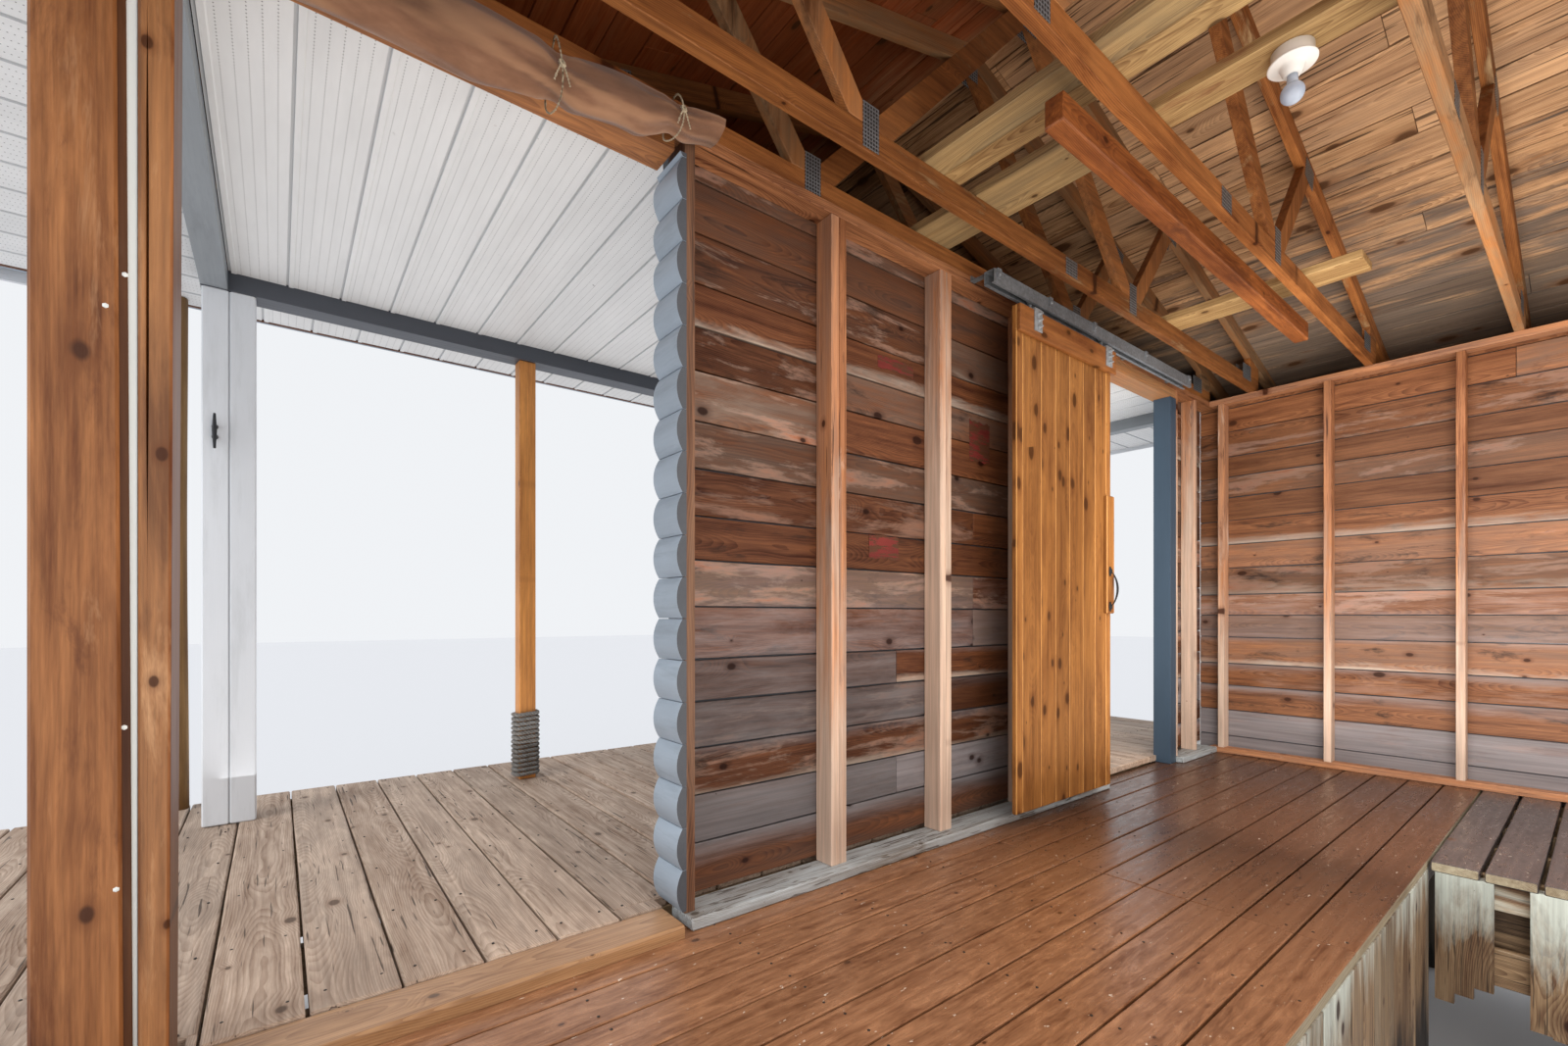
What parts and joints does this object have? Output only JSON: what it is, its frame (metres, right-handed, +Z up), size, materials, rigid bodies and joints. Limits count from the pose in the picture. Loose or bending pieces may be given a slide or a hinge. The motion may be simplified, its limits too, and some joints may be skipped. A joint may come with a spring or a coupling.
{
  "type": "boathouse",
  "caption": "Timber boathouse over one slip, with log siding, roof trusses, a sliding door and a covered porch.",
  "frame": {"origin": "under the middle of the building, at the feet of the piles", "axes": "X along the gable walls, Y inland from the water to the porch, Z up"},
  "size_m": [7.22, 9.04, 4.6205],
  "materials": {
    "pile_wood": "weathered round timber",
    "frame_wood": "rough sawn timber",
    "floor_boards": "red brown stained boards, glossy",
    "deck_boards": "weathered tan boards",
    "lining_boards": "wet grey green boards",
    "old_stud": "orange brown framing timber",
    "post_wood": "oiled pine post",
    "siding_paint": "blue grey painted log siding",
    "jamb_paint": "blue grey paint",
    "white_paint": "white paint",
    "grey_paint": "slate grey paint",
    "roof_wood": "bare roof boards with dark streaks",
    "roofing": "mineral surfaced roofing",
    "ceiling_panel": "white perforated panels",
    "cedar": "orange cedar",
    "log": "peeled pole",
    "galvanized": "galvanized steel",
    "porcelain": "white glaze",
    "bulb_glass": "frosted glass",
    "canvas": "brown canvas",
    "rope": "cotton rope"
  },
  "bodies": {
    "building": {"walkway_piles": "pile_wood", "land_piles": "pile_wood", "floor_beams": "frame_wood", "floor_joists": "frame_wood", "porch_bearers": "frame_wood", "porch_joists": "frame_wood", "left_deck": "floor_boards", "right_deck": "floor_boards", "head_deck": "floor_boards", "porch_deck": "deck_boards", "threshold": "floor_boards", "slip_head_lining": "lining_boards", "slip_side_linings": "lining_boards", "corner_post": "post_wood", "land_wall_studs": "old_stud", "land_siding_panel": "siding_paint", "land_siding_corner": "siding_paint", "jamb_siding": "siding_paint", "headers": "old_stud", "door_jambs": "jamb_paint", "right_wall_studs": "old_stud", "right_siding": "siding_paint", "left_wall_studs": "old_stud", "left_siding": "siding_paint", "water_wall_studs": "old_stud", "water_siding": "siding_paint", "water_gable": "siding_paint", "corner_boards": "white_paint", "bottom_chords": "old_stud", "top_chords_left": "old_stud", "top_chords_right": "old_stud", "truss_webs": "old_stud", "loft_timbers": "old_stud", "lamp_holder": "porcelain", "lamp_bulb": "bulb_glass", "roof_boards_left": "roof_wood", "roof_boards_right": "roof_wood", "roofing": "roofing", "fascias": "white_paint", "land_gable": "siding_paint", "porch_ceiling": "ceiling_panel", "eave_ceilings": "ceiling_panel", "porch_beams": "grey_paint", "white_posts": "white_paint", "cedar_posts": "cedar", "log_post": "log", "door_track": "galvanized", "canvas_roll": "canvas", "canvas_ties": "rope"},
    "door": {"sliding_door": "cedar", "door_hangers": "galvanized"}
  },
  "joints": [
    {"name": "door_slide", "type": "slide", "parent": "building", "child": "door", "axis": [1, 0, 0], "range_m": [0, 1.09]}
  ]
}
